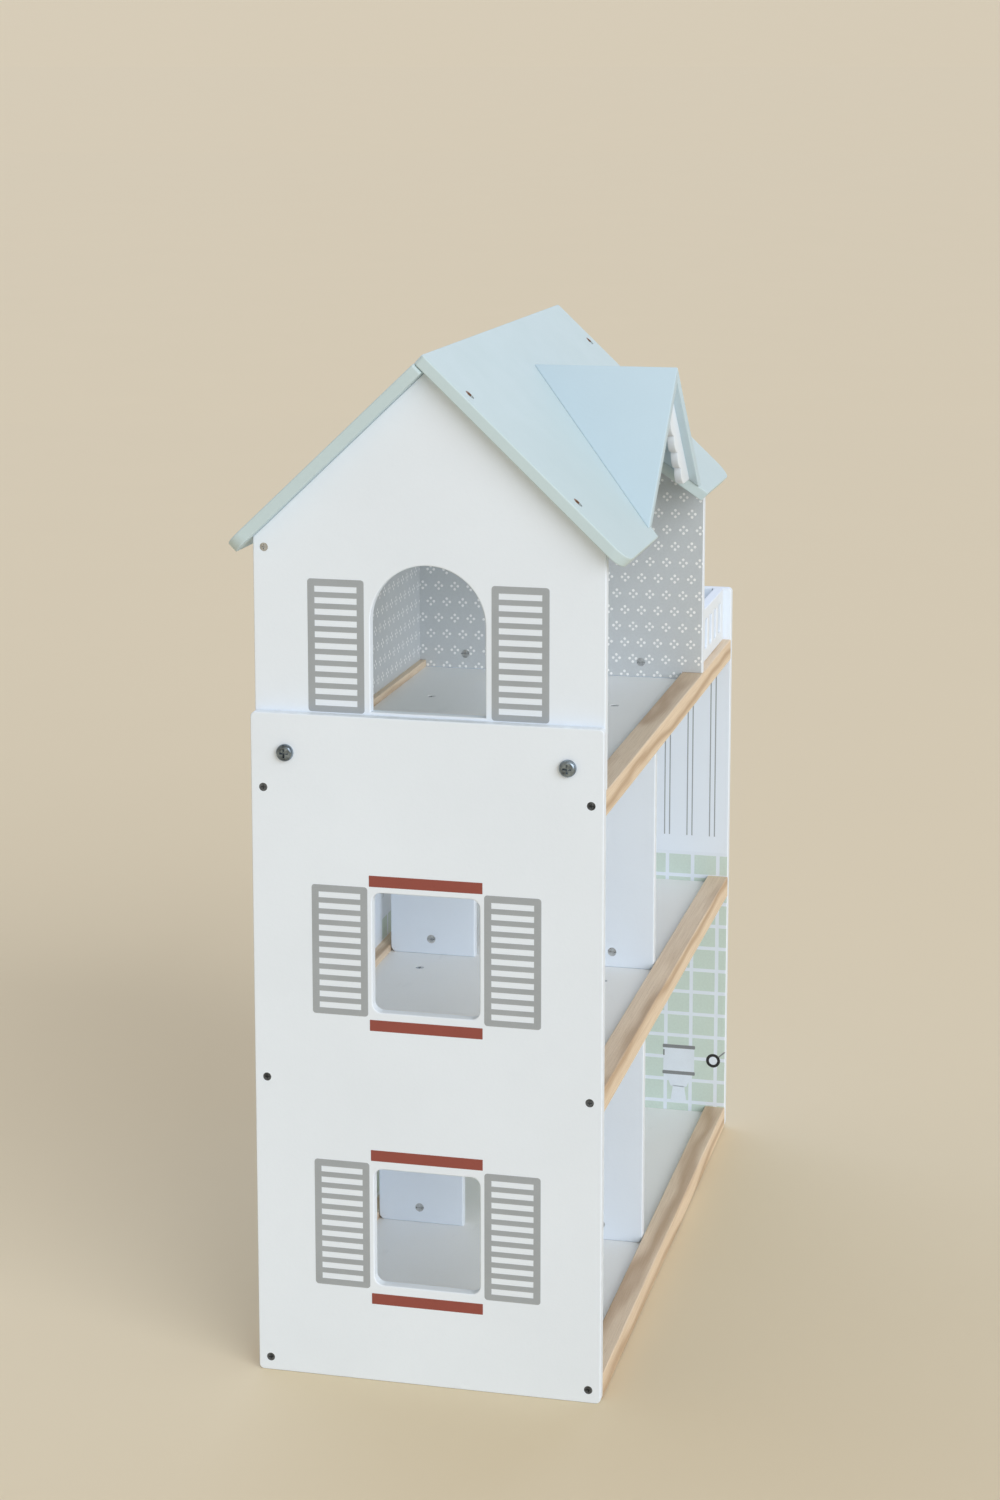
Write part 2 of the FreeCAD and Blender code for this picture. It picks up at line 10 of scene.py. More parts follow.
import bmesh
import bpy
from bpy.props import FloatProperty, FloatVectorProperty, IntProperty, PointerProperty
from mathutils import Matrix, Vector


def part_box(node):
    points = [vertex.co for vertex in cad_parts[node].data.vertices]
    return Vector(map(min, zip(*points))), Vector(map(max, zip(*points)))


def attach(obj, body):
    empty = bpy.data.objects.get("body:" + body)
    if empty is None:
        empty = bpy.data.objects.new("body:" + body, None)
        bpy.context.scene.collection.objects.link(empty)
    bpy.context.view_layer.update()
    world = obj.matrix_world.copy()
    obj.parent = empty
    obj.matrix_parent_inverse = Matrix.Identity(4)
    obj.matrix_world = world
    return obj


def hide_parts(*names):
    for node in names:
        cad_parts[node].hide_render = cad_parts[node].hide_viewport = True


bl_info = {
    "name": "Wooden dollhouse",
    "version": (1, 0, 0),
    "blender": (4, 5, 0),
    "location": "View3D > Sidebar > Dollhouse",
    "description": "Paints, papers and prints a wooden dollhouse and sets up its studio",
    "category": "Object",
}

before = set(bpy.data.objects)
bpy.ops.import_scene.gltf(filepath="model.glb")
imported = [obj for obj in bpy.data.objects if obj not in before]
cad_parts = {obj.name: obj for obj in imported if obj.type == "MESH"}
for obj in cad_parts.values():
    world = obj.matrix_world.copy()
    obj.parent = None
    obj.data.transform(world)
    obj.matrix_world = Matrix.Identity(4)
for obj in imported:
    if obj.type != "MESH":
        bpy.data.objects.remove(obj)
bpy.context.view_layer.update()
MM = 0.001
TOLERANCE = 0.0001


def box_of(*names):
    """The lowest and highest corners of one or more nodes together."""
    lows, highs = zip(*[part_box(name) for name in names])
    low = Vector([min(corner[axis] for corner in lows) for axis in range(3)])
    high = Vector([max(corner[axis] for corner in highs) for axis in range(3)])
    return low, high


END_PANEL_LOW, END_PANEL_HIGH = box_of("left_side_panel")
FAR_PANEL_LOW = box_of("right_side_panel")[0]
GABLE_LOW, GABLE_HIGH = box_of("left_gable_panel")
END_WALL_LOW = box_of("attic_end_wall")[0]
BACK_WALL_LOW, BACK_WALL_HIGH = box_of("attic_back_wall")
MIDDLE_FLOOR_TOP = box_of("middle_floor")[1].z
STOREYS = ("ground", "middle", "attic")

# The roof, as the maker set it out: its pitch, its boards' rise and its two rows of screws
ROOF_PITCH = radians(43.475)
ROOF_TOP_RISE = 9 * MM / cos(ROOF_PITCH)
ROOF_SCREW_SPREAD = 216 * MM
ROOF_SCREW_ROWS = (31 * MM / cos(ROOF_PITCH), 111.5 * MM / cos(ROOF_PITCH))
SCREW_HOLE = 3.5 * MM

# Where the printed walls' patterns start
SPRIG_START = Vector((BACK_WALL_HIGH.x - 7 * MM, 118.4 * MM, 542.2 * MM))
TILE_LINE_Y = -77.6 * MM
TILE_LINE_Z = 88.3 * MM
STRIPE_LINE_Y = -76.9 * MM
DADO = 28.5 * MM
DADO_BAND = 15.5 * MM
BEHIND_RAIL = 5 * MM

# Shutters and bars on the end panel: heights of the shutters' feet and of the bars' middles
SHUTTER_FEET = {"ground": 74.7 * MM, "middle": 291.2 * MM, "attic": 522.6 * MM}
SHUTTER_MIDDLE = 66.7 * MM
GABLE_SHUTTER_SHIFT = 3.6 * MM
LINTEL_CENTRES = {
    "ground_sill": 66.7 * MM,
    "ground_lintel": 181.7 * MM,
    "middle_sill": 284.7 * MM,
    "middle_lintel": 396.9 * MM,
}
LINTEL_CORNER = 0.3 * MM

# Bathroom motifs; heights are of the middles, sizes are across and up
TOILET_MIDDLE = -90.4 * MM
CISTERN_HEIGHT = 64 * MM
CISTERN_SIZE = (29.8 * MM, 27 * MM)
BOWL_HEIGHT = 44 * MM
BOWL_SIZE = (25.5 * MM, 13 * MM)
BOWL_TAPER = 0.6
FOOT_HEIGHT = 29.5 * MM
FOOT_SIZE = (11 * MM, 17 * MM)
FOOT_FLARE = 1.45
LID_HEIGHTS = (77 * MM, 51 * MM)
LID_SIZE = (31.2 * MM, 3.4 * MM)
HANDLE_PLACE = (14.4 * MM, 70.5 * MM)
HANDLE_SIZE = (1.4 * MM, 6 * MM)
CISTERN_CORNER = 1 * MM
MOTIF_CORNER = 0.8 * MM
HANDLE_CORNER = 0.6 * MM
ROLL_CENTRE = Vector((0, -123.4 * MM, 65.6 * MM))
ROLL_RADIUS = 6.7 * MM
ROLL_INK = 2.7 * MM
CORE_RADIUS = 4.4 * MM
CORE_INSET = 0.4 * MM
TAIL_SIZE = (8 * MM, 1.3 * MM)
TAIL_CORNER = 0.5 * MM
TAIL_SHIFT = (-8.2 * MM, 6.6 * MM)
TAIL_TURN = radians(-42)

# The floor's sweep: beyond each share of its reach, it rises by a further share of its rise
SWEEP = ((0.6, 0.64), (0.35, 0.24), (0.2, 0.08), (0.1, 0.04))
SWEEP_MARGIN = 1.01

# Where the lights stand, shining at the house's foot, and where the camera stands and looks
KEY_PLACE = (-2.15, -1.95, 0.75)
FILL_PLACE = (-1.2, -1.35, 0.65)
WINDOW_PLACE = (1.5, 0.7, 1.3)
CAMERA_PLACE = (-2.3222, -0.5365, 0.9964)
CAMERA_LOOK = Vector((0.9598, 0.2279, -0.1639))
CAMERA_SHIFT = -0.1333


def paint(red, green, blue):
    """A linear colour from the usual 0 to 255 display values."""
    shares = [value / 255 for value in (red, green, blue)]
    return tuple(
        share / 12.92 if share <= 0.04045 else ((share + 0.055) / 1.055) ** 2.4
        for share in shares
    )


def colour(name, description, red, green, blue):
    """A colour property with its default."""
    return FloatVectorProperty(
        name=name,
        description=description,
        default=paint(red, green, blue),
        subtype="COLOR",
        size=3,
        min=0.0,
        max=1.0,
    )


def length(name, description, millimetres):
    """A length property with its default in millimetres."""
    return FloatProperty(
        name=name,
        description=description,
        default=millimetres * MM,
        min=0.0,
        subtype="DISTANCE",
        unit="LENGTH",
        precision=5,
    )


def strength(name, description, value):
    """A light's strength, with its default."""
    return FloatProperty(name=name, description=description, default=value, min=0.0)


def spread(name, description, degrees):
    """How wide a light is, with its default in degrees."""
    return FloatProperty(
        name=name, description=description, default=radians(degrees), subtype="ANGLE"
    )


# What a user would change


class DollhousePaints(bpy.types.PropertyGroup):
    """Colours of the paints, papers, inks, wood and metal."""

    white: colour("White paint", "Walls, fences and the dormer's trim", 230, 240, 251)
    floor_grey: colour("Floor paper", "Grey-white paper on the floors", 242, 245, 246)
    roof_blue: colour("Roof blue", "Both slopes of the main roof", 196, 216, 222)
    dormer_blue: colour("Dormer blue", "The dormer's two boards", 194, 217, 230)
    paper_grey: colour("Wallpaper grey", "Ground of the attic wallpaper", 203, 209, 213)
    sprig_white: colour("Sprig white", "Dots of the attic wallpaper", 250, 252, 253)
    tile_green: colour("Tile green", "Bathroom and kitchen tiles", 205, 222, 214)
    line_grey: colour("Stripe grey", "Fine stripes on the middle storey's wall", 156, 163, 169)
    shutter_grey: colour("Shutter grey", "Ink of the printed shutters", 163, 170, 176)
    lintel_red: colour("Lintel red", "Ink of the bars over and under the windows", 146, 74, 64)
    motif_grey: colour("Motif grey", "Ink of the bathroom motif", 135, 139, 142)
    motif_black: colour("Motif black", "Ink of the paper roll", 38, 38, 40)
    wood_pale: colour("Pale wood", "Early wood of the rails", 230, 211, 186)
    wood_dark: colour("Dark wood", "Late wood of the rails", 176, 146, 114)
    raw_board: colour("Raw board", "Fibreboard where it is drilled", 142, 108, 84)
    zinc: colour("Zinc", "Plated screws, bolts and nuts", 214, 217, 219)
    chrome: colour("Chrome", "Large bolts that hold the gable", 158, 172, 184)
    dark_steel: colour("Dark steel", "Screws in the end panels", 118, 124, 132)
    bronze: colour("Bronzed steel", "Screws in the roof", 120, 72, 58)
    backdrop: colour("Backdrop", "Paper of the studio's floor", 225, 212, 184)


class DollhousePrints(bpy.types.PropertyGroup):
    """Sizes of what is printed on the boards."""

    shutter_width: length("Shutter width", "Across one printed shutter", 43.4)
    shutter_height: length("Shutter height", "Up one printed shutter", 100.7)
    shutter_corner: length("Shutter corner", "Radius of a shutter's corners", 2.4)
    shutter_stile: length("Shutter stile", "Ink on each side of the slats", 5.4)
    slat_height: length("Slat height", "Bare paint between two strips of ink", 4.5)
    slat_pitch: length("Slat pitch", "From one slat to the next", 8.6)
    slats: IntProperty(name="Slats", description="Slats in one shutter", default=11, min=1)
    lintel_length: length("Lintel length", "Along a bar over or under a window", 87.4)
    lintel_height: length("Lintel height", "Up a bar over or under a window", 8.6)
    ink: length("Ink thickness", "How far the ink stands on the board", 0.1)
    tile: length("Tile pitch across", "From one grout line to the next, across", 24.0)
    tile_course: length("Tile pitch up", "From one grout line to the next, upwards", 21.9)
    grout: length("Grout", "Width of the white lines between tiles", 3.4)
    stripe_pitch: length("Stripe pitch", "From one pair of stripes to the next", 21.35)
    stripe_gap: length("Stripe gap", "Between the two stripes of a pair", 4.7)
    stripe: length("Stripe", "Width of one stripe", 1.1)
    sprig_pitch: length("Sprig pitch", "Between sprigs along a row of wallpaper", 14.67)
    sprig_row: length("Sprig row", "Between two rows of sprigs", 14.45)
    sprig_reach: length("Sprig reach", "From a sprig's middle to its dots", 2.85)
    sprig_dot: length("Sprig dot", "Radius of one dot", 1.2)
    dormer_round: length("Dormer rounding", "Rounding of the dormer boards' edges", 0.9)


class DollhouseStudio(bpy.types.PropertyGroup):
    """Camera and lights."""

    lens: FloatProperty(
        name="Lens", description="Focal length", default=69.64, min=1.0, subtype="DISTANCE_CAMERA"
    )
    key: strength("Key light", "Soft light from the front, on the end panel", 0.3)
    key_spread: spread("Key spread", "How wide the key light is", 110)
    key_tint: colour("Key tint", "Colour of the key light", 186, 222, 255)
    fill: strength("Fill light", "Light into the open rooms", 2.1)
    fill_spread: spread("Fill spread", "How wide the fill light is", 50.0)
    fill_tint: colour("Fill tint", "Colour of the fill light", 246, 249, 255)
    window: strength("Window light", "Light from behind, so that the panel shades the floor", 1.15)
    window_spread: spread("Window spread", "How wide the window light is", 80.0)
    window_tint: colour("Window tint", "Colour of the window light", 185, 210, 255)
    room: strength("Room light", "Light from all round", 0.83)
    room_tint: colour("Room tint", "Colour of the light from all round", 208, 199, 184)
    floor_reach: length("Floor reach", "Radius of the floor", 60000.0)
    floor_rise: length("Floor rise", "How far the floor sweeps up at its rim", 2800.0)


def paints():
    return bpy.context.scene.dollhouse_paints


def prints():
    return bpy.context.scene.dollhouse_prints


def studio():
    return bpy.context.scene.dollhouse_studio


# Mixing finishes


class Finish:
    """A material being mixed: each call adds one node and hands back its output."""

    def __init__(self, name, roughness, metallic=0.0):
        self.material = bpy.data.materials.new(name)
        self.material.use_nodes = True
        self.tree = self.material.node_tree
        self.tree.nodes.clear()
        self.shader = self.add("ShaderNodeBsdfPrincipled")
        self.shader.inputs["Roughness"].default_value = roughness
        self.shader.inputs["Metallic"].default_value = metallic
        output = self.add("ShaderNodeOutputMaterial")
        self.join(self.shader.outputs["BSDF"], output.inputs["Surface"])
        self.place = self.add("ShaderNodeTexCoord").outputs["Object"]
        parts = self.add("ShaderNodeSeparateXYZ")
        self.join(self.place, parts.inputs[0])
        self.x, self.y, self.z = parts.outputs

    def add(self, kind):
        return self.tree.nodes.new(kind)

    def join(self, source, target):
        if hasattr(source, "links"):
            self.tree.links.new(source, target)
        elif hasattr(source, "__len__") and len(source) == 3 and target.type == "RGBA":
            target.default_value = (*source, 1.0)
        else:
            target.default_value = source

    def math(self, operation, *values):
        node = self.add("ShaderNodeMath")
        node.operation = operation
        for value, target in zip(values, node.inputs):
            self.join(value, target)
        return node.outputs[0]

    def total(self, first, *others):
        for other in others:
            first = self.math("ADD", first, other)
        return first

    def distance_from(self, value, centre):
        return self.math("ABSOLUTE", self.math("SUBTRACT", value, centre))

    def near(self, value, centre, reach):
        """1 where the value is within reach of the centre, else 0."""
        return self.math("COMPARE", value, centre, reach)

    def below(self, value, limit):
        return self.math("LESS_THAN", value, limit)

    def repeated(self, value, pitch, start):
        """The value's distance, with its sign, from the nearest of evenly spaced lines."""
        return self.math("WRAP", self.math("SUBTRACT", value, start), pitch / 2, -pitch / 2)

    def spread(self, value, low, high, new_low, new_high):
        node = self.add("ShaderNodeMapRange")
        for target, number in zip(node.inputs, (value, low, high, new_low, new_high)):
            self.join(number, target)
        return node.outputs[0]

    def mix(self, share, first, second):
        node = self.add("ShaderNodeMix")
        node.data_type = "RGBA"
        self.join(share, node.inputs[0])
        self.join(first, node.inputs[6])
        self.join(second, node.inputs[7])
        return node.outputs[2]

    def noise(self, scale, detail=2.0, stretch=(1.0, 1.0, 1.0)):
        turn = self.add("ShaderNodeMapping")
        turn.inputs["Scale"].default_value = stretch
        self.join(self.place, turn.inputs["Vector"])
        node = self.add("ShaderNodeTexNoise")
        node.inputs["Scale"].default_value = scale
        node.inputs["Detail"].default_value = detail
        self.join(turn.outputs[0], node.inputs["Vector"])
        return node.outputs["Fac"]

    def relief(self, height, depth):
        """Raises the surface by the height, up to depth."""
        node = self.add("ShaderNodeBump")
        node.inputs["Distance"].default_value = depth
        self.join(height, node.inputs["Height"])
        self.join(node.outputs["Normal"], self.shader.inputs["Normal"])

    def colour_with(self, value):
        self.join(value, self.shader.inputs["Base Color"])

    def roughness_with(self, value):
        self.join(value, self.shader.inputs["Roughness"])


def darker(tint, share):
    return tuple(part * share for part in tint)


def sprayed(finish, tint):
    """Sprayed and sanded paint: faint clouds of tone, fine peel, a satin gloss."""
    clouds = finish.noise(9.0, 3.0)
    specks = finish.noise(900.0, 1.0)
    tone = finish.mix(finish.spread(clouds, 0.3, 0.7, 0.0, 1.0), darker(tint, 0.965), tint)
    tone = finish.mix(finish.spread(specks, 0.62, 0.8, 0.0, 0.25), tone, darker(tint, 0.9))
    gloss = finish.noise(40.0, 2.0)
    finish.roughness_with(finish.spread(gloss, 0.3, 0.7, 0.42, 0.52))
    peel = finish.math("ADD", finish.noise(420.0, 2.0), finish.math("MULTIPLY", clouds, 0.5))
    finish.relief(peel, 0.00006)
    return tone


def white_board(name, outline=None):
    """White paint; where an outline box is given, its rim shows thinner paint."""
    finish = Finish(name, 0.45)
    tone = sprayed(finish, paints().white)
    if outline:
        low, high = outline
        centre = (low + high) / 2
        half = (high - low) / 2
        from_side = finish.math("SUBTRACT", half.y, finish.distance_from(finish.y, centre.y))
        from_end = finish.math("SUBTRACT", half.z, finish.distance_from(finish.z, centre.z))
        rim = finish.math("MINIMUM", from_side, from_end)
        at_rim = finish.spread(rim, 0.0, 0.0016, 1.0, 0.0)
        rubbed = finish.math("MULTIPLY", finish.noise(120.0, 4.0), at_rim)
        thin = finish.spread(rubbed, 0.35, 0.8, 0.0, 0.6)
        tone = finish.mix(thin, tone, darker(paints().white, 0.8))
    finish.colour_with(tone)
    return finish.material


def sprig_mask(finish, across, up, across_start, up_start):
    """Staggered sprigs of four dots each, on a wall."""
    sizes = prints()
    masks = []
    for shift in (0.0, 0.5):
        u = finish.repeated(across, sizes.sprig_pitch, across_start + shift * sizes.sprig_pitch)
        v = finish.repeated(up, 2 * sizes.sprig_row, up_start + shift * 2 * sizes.sprig_row)
        u = finish.math("ABSOLUTE", u)
        v = finish.math("ABSOLUTE", v)
        far = finish.math("SUBTRACT", finish.math("MAXIMUM", u, v), sizes.sprig_reach)
        near = finish.math("MINIMUM", u, v)
        squared = finish.math("ADD", finish.math("POWER", far, 2.0), finish.math("POWER", near, 2.0))
        masks.append(finish.below(squared, sizes.sprig_dot ** 2))
    return finish.math("MAXIMUM", *masks)


def papered_board(name, across_wall):
    """White board with sprigged wallpaper on the face towards the room."""
    finish = Finish(name, 0.5)
    white = sprayed(finish, paints().white)
    fibre = finish.noise(700.0, 3.0)
    patches = finish.spread(fibre, 0.3, 0.7, 0.0, 1.0)
    grey = finish.mix(patches, darker(paints().paper_grey, 0.94), paints().paper_grey)
    if across_wall:
        room_face = finish.below(finish.x, END_WALL_LOW.x + TOLERANCE)
        dots = sprig_mask(finish, finish.y, finish.z, SPRIG_START.y, SPRIG_START.z)
    else:
        room_face = finish.below(finish.y, BACK_WALL_LOW.y + TOLERANCE)
        dots = sprig_mask(finish, finish.x, finish.z, SPRIG_START.x, SPRIG_START.z)
    paper = finish.mix(dots, grey, paints().sprig_white)
    finish.colour_with(finish.mix(room_face, white, paper))
    return finish.material


def tiled(finish, across, across_start, up_start):
    """Printed green tiles with white grout."""
    sizes = prints()
    column = finish.repeated(across, sizes.tile, across_start)
    course = finish.repeated(finish.z, sizes.tile_course, up_start)
    line_across = finish.near(column, 0.0, sizes.grout / 2)
    line_up = finish.near(course, 0.0, sizes.grout / 2)
    grain = finish.spread(finish.noise(500.0, 2.0), 0.3, 0.7, 0.0, 1.0)
    green = finish.mix(grain, darker(paints().tile_green, 0.95), paints().tile_green)
    lines = finish.math("MAXIMUM", line_across, line_up)
    return finish.mix(lines, green, darker(paints().white, 0.97))


def striped(finish, across, across_start):
    """Fine printed stripes in pairs on white."""
    sizes = prints()
    pair = finish.math("ABSOLUTE", finish.repeated(across, sizes.stripe_pitch, across_start))
    lines = finish.near(pair, sizes.stripe_gap / 2, sizes.stripe / 2)
    return finish.mix(lines, paints().white, paints().line_grey)


def storey_prints(finish, across, tile_start, stripe_start):
    """Ground storey tiled all the way up; above it, stripes over a low tiled dado."""
    dado_top = MIDDLE_FLOOR_TOP + DADO
    ground = tiled(finish, across, tile_start, TILE_LINE_Z)
    dado = tiled(finish, across, tile_start, MIDDLE_FLOOR_TOP + BEHIND_RAIL)
    above = finish.math("GREATER_THAN", finish.z, dado_top)
    over_band = finish.math("GREATER_THAN", finish.z, dado_top + DADO_BAND)
    middle = finish.mix(above, dado, paints().white)
    middle = finish.mix(over_band, middle, striped(finish, across, stripe_start))
    upper_storey = finish.math("GREATER_THAN", finish.z, MIDDLE_FLOOR_TOP - BEHIND_RAIL)
    return finish.mix(upper_storey, ground, middle)


def far_panel_board():
    """The balcony end's panel: white outside, printed inside."""
    finish = Finish("printed_end_panel", 0.45)
    white = sprayed(finish, paints().white)
    inside = finish.below(finish.x, FAR_PANEL_LOW.x + TOLERANCE)
    printed = storey_prints(finish, finish.y, TILE_LINE_Y, STRIPE_LINE_Y)
    finish.colour_with(finish.mix(inside, white, printed))
    return finish.material


def printed_back_wall(name, node, partition):
    """A thin back wall: printed to the right of its storey's partition, white to the left."""
    wall_low = box_of(node)[0]
    finish = Finish(name, 0.5)
    white = sprayed(finish, paints().white)
    front = finish.below(finish.y, wall_low.y + TOLERANCE)
    right = finish.math("GREATER_THAN", finish.x, box_of(partition)[1].x)
    tile_start = FAR_PANEL_LOW.x - prints().tile / 2
    stripe_start = FAR_PANEL_LOW.x - prints().stripe_pitch / 2
    printed = storey_prints(finish, finish.x, tile_start, stripe_start)
    finish.colour_with(finish.mix(finish.math("MULTIPLY", front, right), white, printed))
    return finish.material


def floor_paper():
    """Grey-white paper over board, a little scuffed by play."""
    finish = Finish("floor_paper", 0.5)
    clouds = finish.noise(14.0, 4.0)
    fibre = finish.noise(800.0, 2.0)
    tone = finish.mix(clouds, darker(paints().floor_grey, 0.95), paints().floor_grey)
    specks = finish.spread(fibre, 0.55, 0.75, 0.0, 0.4)
    tone = finish.mix(specks, tone, darker(paints().floor_grey, 0.88))
    scuff = finish.spread(finish.noise(60.0, 5.0, (0.3, 1.0, 1.0)), 0.66, 0.74, 0.0, 0.35)
    tone = finish.mix(scuff, tone, darker(paints().floor_grey, 0.84))
    finish.colour_with(tone)
    finish.roughness_with(finish.spread(clouds, 0.3, 0.7, 0.4, 0.55))
    finish.relief(fibre, 0.00004)
    return finish.material


def screw_hole_mask(finish):
    """Where the roof boards are drilled for their screws."""
    low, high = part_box("roof_screws")
    centre = (low[0] + high[0]) / 2
    side = finish.distance_from(finish.distance_from(finish.x, centre), ROOF_SCREW_SPREAD)
    depth = finish.math("ABSOLUTE", finish.y)
    outward = finish.math("MULTIPLY", depth, cos(ROOF_PITCH))
    upward = finish.math("MULTIPLY", finish.z, sin(ROOF_PITCH))
    ridge = (GABLE_HIGH.z + ROOF_TOP_RISE) * sin(ROOF_PITCH)
    along_from_ridge = finish.math("ADD", finish.math("SUBTRACT", outward, upward), ridge)
    nearest = finish.math(
        "MINIMUM",
        finish.distance_from(along_from_ridge, ROOF_SCREW_ROWS[0]),
        finish.distance_from(along_from_ridge, ROOF_SCREW_ROWS[1]),
    )
    squared = finish.math("ADD", finish.math("POWER", side, 2.0), finish.math("POWER", nearest, 2.0))
    return finish.below(squared, SCREW_HOLE ** 2)


def blue_board(name, tint, drilled):
    """Light blue paint; raw board shows in the countersinks of the roof's screws."""
    finish = Finish(name, 0.45)
    tone = sprayed(finish, tint)
    if drilled:
        fibre = finish.noise(900.0, 4.0)
        raw = finish.mix(fibre, darker(paints().raw_board, 0.6), paints().raw_board)
        tone = finish.mix(screw_hole_mask(finish), tone, raw)
    finish.colour_with(tone)
    return finish.material


def rail_wood():
    """Pale wood with its grain along the rail: growth rings, fibres and short pores."""
    finish = Finish("rail_wood", 0.55)
    drift = finish.noise(1.0, 2.0, stretch=(5.0, 28.0, 28.0))
    rings_at = finish.total(
        finish.math("MULTIPLY", finish.z, 260.0),
        finish.math("MULTIPLY", finish.y, 170.0),
        finish.math("MULTIPLY", drift, 9.0),
    )
    ring = finish.spread(finish.math("SINE", rings_at), -1.0, 1.0, 0.0, 1.0)
    late = finish.math("POWER", ring, 3.0)
    tone = finish.mix(finish.math("MULTIPLY", late, 0.75), paints().wood_pale, paints().wood_dark)
    fibres = finish.noise(1.0, 3.0, stretch=(22.0, 1500.0, 1500.0))
    dark_fibres = finish.spread(fibres, 0.4, 0.75, 0.0, 0.3)
    tone = finish.mix(dark_fibres, tone, darker(paints().wood_dark, 0.9))
    pores = finish.noise(1.0, 1.0, stretch=(160.0, 3200.0, 3200.0))
    open_pores = finish.spread(pores, 0.66, 0.76, 0.0, 0.4)
    tone = finish.mix(open_pores, tone, darker(paints().wood_dark, 0.6))
    finish.colour_with(tone)
    finish.roughness_with(finish.spread(fibres, 0.3, 0.7, 0.45, 0.62))
    finish.relief(finish.math("SUBTRACT", fibres, finish.math("MULTIPLY", pores, 0.6)), 0.00012)
    return finish.material


def steel(name, tint, roughness, dark_reflection_share=0.6):
    """Plated steel with fine turning marks; in patches it is rougher, and its colour falls to a share
    of its tint as a painted dark reflection.
    """
    finish = Finish(name, roughness, metallic=0.9)
    marks = finish.noise(1800.0, 2.0)
    dull_and_dark_reflections = finish.noise(260.0, 3.0)
    # Painted dark reflections: in the patches the colour falls to a share of the tint, and the
    # roughness rises.
    finish.colour_with(finish.mix(finish.spread(dull_and_dark_reflections, 0.3, 0.7, 0.0, 1.0), darker(tint, dark_reflection_share), tint))
    finish.roughness_with(finish.spread(dull_and_dark_reflections, 0.3, 0.7, roughness, roughness + 0.18))
    finish.relief(marks, 0.00004)
    return finish.material


def ink(name, tint):
    """Screen-printed ink: matt, a touch uneven, with the weave of the screen in it."""
    finish = Finish(name, 0.6)
    body = finish.noise(35.0, 3.0)
    weave = finish.noise(1400.0, 1.0)
    tone = finish.mix(finish.spread(body, 0.3, 0.7, 0.0, 1.0), darker(tint, 0.93), tint)
    tone = finish.mix(finish.spread(weave, 0.5, 0.8, 0.0, 0.4), tone, darker(tint, 0.82))
    finish.colour_with(tone)
    finish.roughness_with(finish.spread(body, 0.3, 0.7, 0.52, 0.66))
    finish.relief(weave, 0.00003)
    return finish.material


def give(names, material):
    """Gives one finish to all the named nodes."""
    for name in names:
        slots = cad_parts[name].material_slots
        if not slots:
            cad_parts[name].data.materials.append(material)
        for slot in slots:
            slot.material = material


# Modelling helpers


def nothing_selected():
    if bpy.context.object and bpy.context.object.mode != "OBJECT":
        bpy.ops.object.mode_set(mode="OBJECT")
    bpy.ops.object.select_all(action="DESELECT")


def edit(piece):
    nothing_selected()
    bpy.context.view_layer.objects.active = piece
    piece.select_set(True)
    bpy.ops.object.mode_set(mode="EDIT")
    bpy.ops.mesh.select_all(action="SELECT")


def leave_edit():
    bpy.ops.object.mode_set(mode="OBJECT")


def settle():
    """Writes the object's place into its mesh."""
    bpy.ops.object.transform_apply(location=True, rotation=True, scale=True)


def pick(piece, kind, wanted):
    """Selects only the vertices, edges or faces for which wanted(element) holds."""
    bpy.ops.mesh.select_mode(type={"verts": "VERT", "edges": "EDGE", "faces": "FACE"}[kind])
    bpy.ops.mesh.select_all(action="DESELECT")
    mesh = bmesh.from_edit_mesh(piece.data)
    for element in getattr(mesh, kind):
        if wanted(element):
            element.select_set(True)
    mesh.select_flush_mode()
    bmesh.update_edit_mesh(piece.data)


def patch(name, facing, place, width, height):
    """A flat rectangle on an upright board that faces -X or +X, its middle at place."""
    nothing_selected()
    bpy.ops.mesh.primitive_plane_add(size=1, location=place, rotation=(0, facing * pi / 2, 0))
    piece = bpy.context.object
    piece.name = name
    piece.data.name = name
    piece.scale = (height, width, 1)
    settle()
    return piece


def round_corners(piece, radius, segments=5):
    """Rounds a flat rectangle's four corners."""
    edit(piece)
    low = Vector([min(vertex.co[axis] for vertex in piece.data.vertices) for axis in range(3)])
    high = Vector([max(vertex.co[axis] for vertex in piece.data.vertices) for axis in range(3)])

    def at_corner(vertex):
        on_side = min(vertex.co.y - low.y, high.y - vertex.co.y) < TOLERANCE / 10
        on_end = min(vertex.co.z - low.z, high.z - vertex.co.z) < TOLERANCE / 10
        return on_side and on_end

    pick(piece, "verts", at_corner)
    bpy.ops.mesh.bevel(offset=radius, segments=segments, affect="VERTICES", clamp_overlap=False)
    leave_edit()


def thicken(piece, facing):
    """Gives a flat print its thickness, from just inside the board's face outwards."""
    edit(piece)
    bpy.ops.transform.translate(value=(-facing * prints().ink / 4, 0, 0))
    outwards = {"value": (facing * prints().ink * 1.25, 0, 0)}
    bpy.ops.mesh.extrude_region_move(TRANSFORM_OT_translate=outwards)
    bpy.ops.mesh.select_all(action="SELECT")
    bpy.ops.mesh.normals_make_consistent(inside=False)
    leave_edit()


def coated(piece, material):
    """Finishes a new piece: its material and the body it rides on."""
    piece.data.materials.clear()
    piece.data.materials.append(material)
    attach(piece, "root")
    return piece


def joined(name, pieces):
    nothing_selected()
    for piece in pieces:
        piece.select_set(True)
    bpy.context.view_layer.objects.active = pieces[0]
    bpy.ops.object.join()
    pieces[0].name = name
    pieces[0].data.name = name
    return pieces[0]


def twin(piece, name, offset):
    """A copy of a print with its own mesh, moved by offset."""
    nothing_selected()
    piece.select_set(True)
    bpy.context.view_layer.objects.active = piece
    bpy.ops.object.duplicate(linked=False)
    other = bpy.context.object
    other.name = name
    other.data.name = name
    other.location = offset
    settle()
    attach(other, "root")


# Operators: one for each piece or group of like pieces


